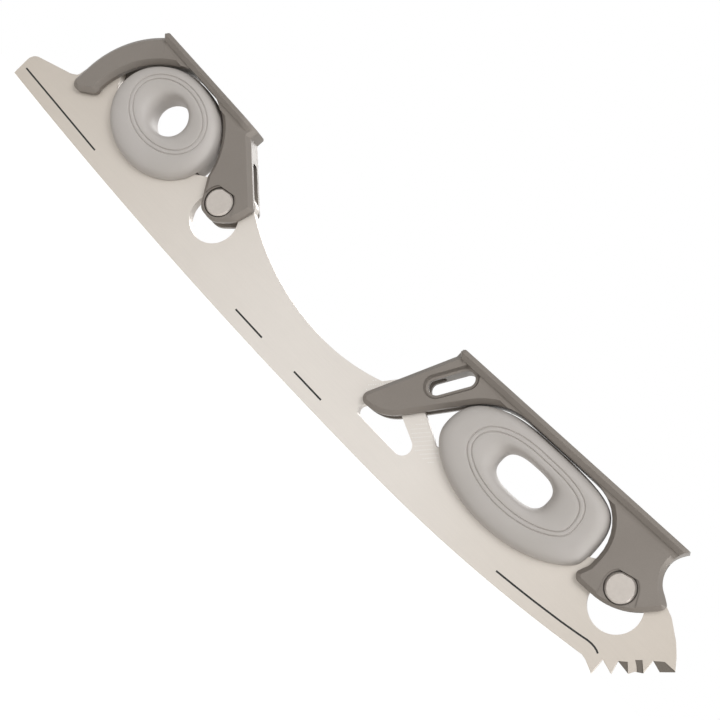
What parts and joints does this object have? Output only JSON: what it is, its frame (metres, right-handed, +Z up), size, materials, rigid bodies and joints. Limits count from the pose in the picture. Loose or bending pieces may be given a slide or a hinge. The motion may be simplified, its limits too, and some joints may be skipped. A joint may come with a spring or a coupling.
{
  "type": "figure skate blade",
  "caption": "Figure skate blade with toe picks: steel runner and pivoting aluminium heel and sole brackets sprung by elastomer ring cushions.",
  "frame": {"origin": "on the mid plane of the runner, halfway along it, at the height of the lowest point of the rocker (the ice)", "axes": "+X from tail to toe picks, +Y across the blade to the skater's left when the toe points away, +Z up towards the boot"},
  "size_m": [0.3068, 0.017, 0.0555],
  "materials": {
    "blade_steel": "fine satin stainless steel",
    "bracket_alloy": "matte hard anodised, warm grey",
    "pin_steel": "satin turned steel",
    "bush_bronze": "turned bearing bronze",
    "cushion_rubber": "matte moulded elastomer, light warm grey",
    "sleeve_rubber": "matte black rubber",
    "bearing_plastic": "matte ivory bearing plastic",
    "insert_steel": "plain steel, threaded inside"
  },
  "bodies": {
    "blade": {"runner": "blade_steel", "heel_pivot_bush": "bush_bronze", "sole_pivot_bush": "bush_bronze", "heel_cushion": "cushion_rubber", "sole_cushion": "cushion_rubber"},
    "heel_mount": {"heel_bracket": "bracket_alloy", "heel_pivot_pin": "pin_steel", "heel_pin_screw": "pin_steel", "heel_thrust_washers": "bearing_plastic", "heel_stop_pin": "pin_steel", "heel_stop_sleeve": "sleeve_rubber", "heel_guide_pads": "bearing_plastic", "heel_inserts": "insert_steel"},
    "sole_mount": {"sole_bracket": "bracket_alloy", "sole_pivot_pin": "pin_steel", "sole_pin_screw": "pin_steel", "sole_thrust_washers": "bearing_plastic", "sole_stop_pin": "pin_steel", "sole_stop_sleeve": "sleeve_rubber", "sole_guide_pads": "bearing_plastic", "sole_inserts": "insert_steel"}
  },
  "joints": [
    {"name": "heel_pivot", "type": "hinge", "parent": "blade", "child": "heel_mount", "pos_m": [-0.05985, 0, 0.0264], "axis": [0, -1, 0], "range_deg": [0, 3.5], "stiffness_Nm_per_rad": 30, "springref_deg": -1.15, "deforming": ["heel_cushion"]},
    {"name": "sole_pivot", "type": "hinge", "parent": "blade", "child": "sole_mount", "pos_m": [0.12455, 0, 0.0312], "axis": [0, -1, 0], "range_deg": [0, 3], "stiffness_Nm_per_rad": 30, "springref_deg": -1.15, "deforming": ["sole_cushion"]}
  ]
}
